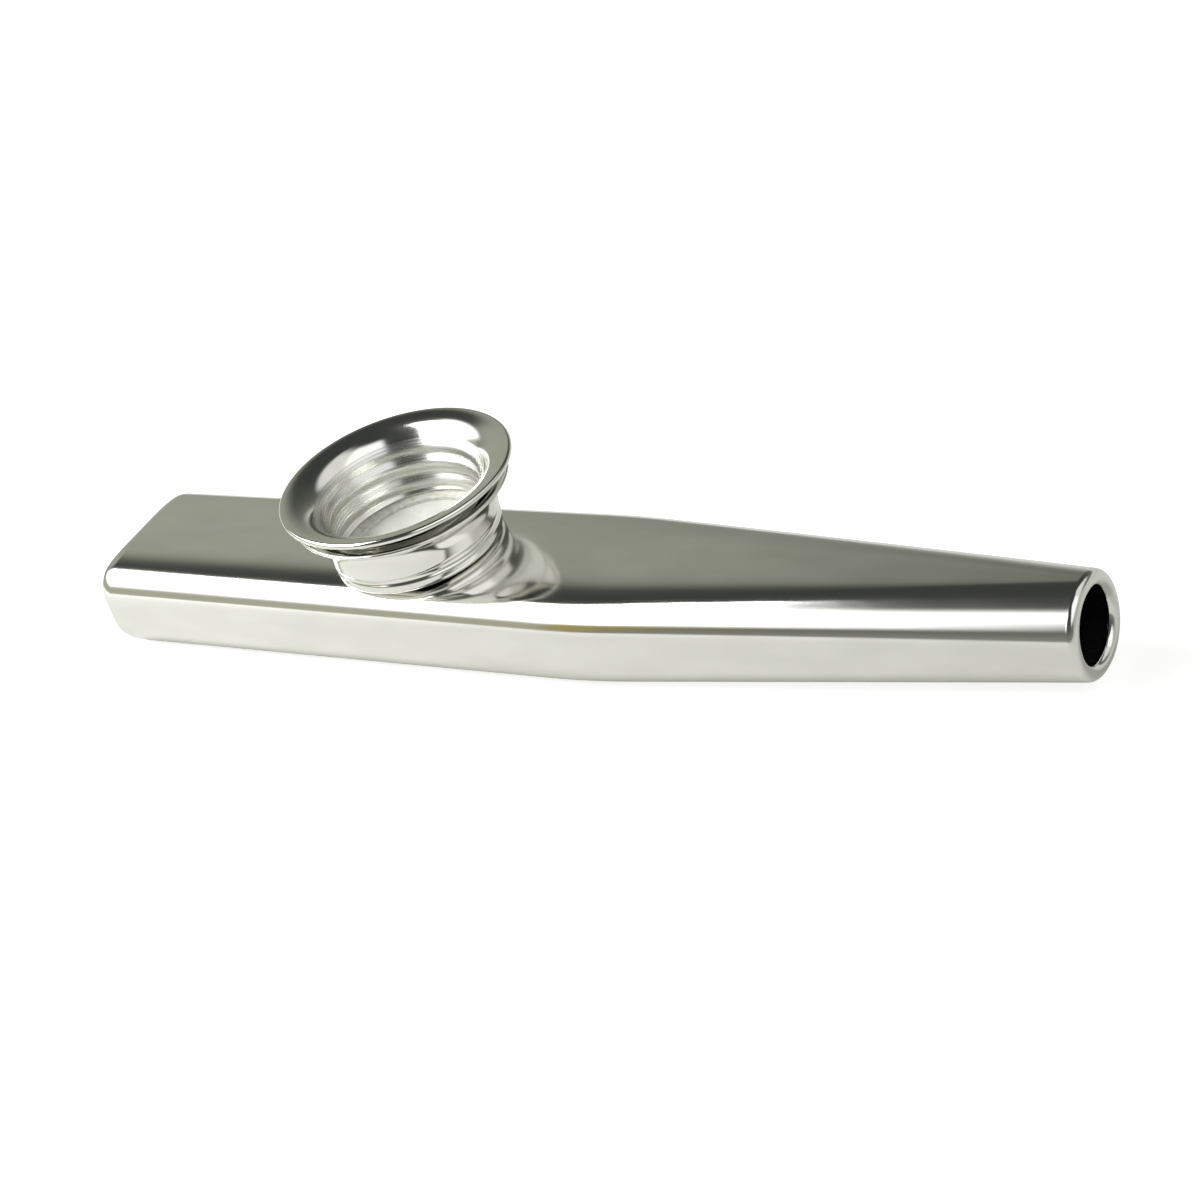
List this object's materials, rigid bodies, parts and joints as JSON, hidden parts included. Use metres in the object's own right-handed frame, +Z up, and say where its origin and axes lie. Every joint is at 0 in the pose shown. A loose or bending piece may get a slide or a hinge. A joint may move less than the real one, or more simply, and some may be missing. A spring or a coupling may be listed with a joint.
{
  "type": "kazoo",
  "caption": "Metal kazoo: flattened aluminium tube tapering to a round nose, with a threaded turret whose flared screw cap clamps a thin buzzing film over the air way.",
  "frame": {"origin": "On the surface that the kazoo lies on, under the middle of its length and width.", "axes": "+X along the tube from the wide mouth end to the round nose, +Z up through the turret, +Y to the left of +X."},
  "size_m": [0.12, 0.0264, 0.0208],
  "materials": {
    "tube_metal": "polished drawn aluminium",
    "turret_metal": "polished spun aluminium with a rolled thread",
    "cap_metal": "polished spun aluminium with a rolled thread",
    "gasket_rubber": "matt moulded rubber",
    "film": "thin translucent film",
    "washer_fibre": "pressed fibre"
  },
  "bodies": {
    "tube": {"body_tube": "tube_metal", "turret": "turret_metal", "seat_gasket": "gasket_rubber", "diaphragm": "film"},
    "washer": {"clamp_washer": "washer_fibre"},
    "cap": {"screw_cap": "cap_metal"}
  },
  "joints": [
    {"name": "cap_turn", "type": "hinge", "parent": "washer", "child": "cap", "pos_m": [-0.01955, 0, 0.0152], "axis": [0, 0, 1], "range_deg": [0, 900]},
    {"name": "cap_lift", "type": "slide", "parent": "tube", "child": "washer", "axis": [0, 0, 1], "range_m": [0, 0.006]}
  ],
  "couplings": [
    {"joint": "cap_lift", "follows": "cap_turn", "m_per_rad": 0.00038197}
  ]
}
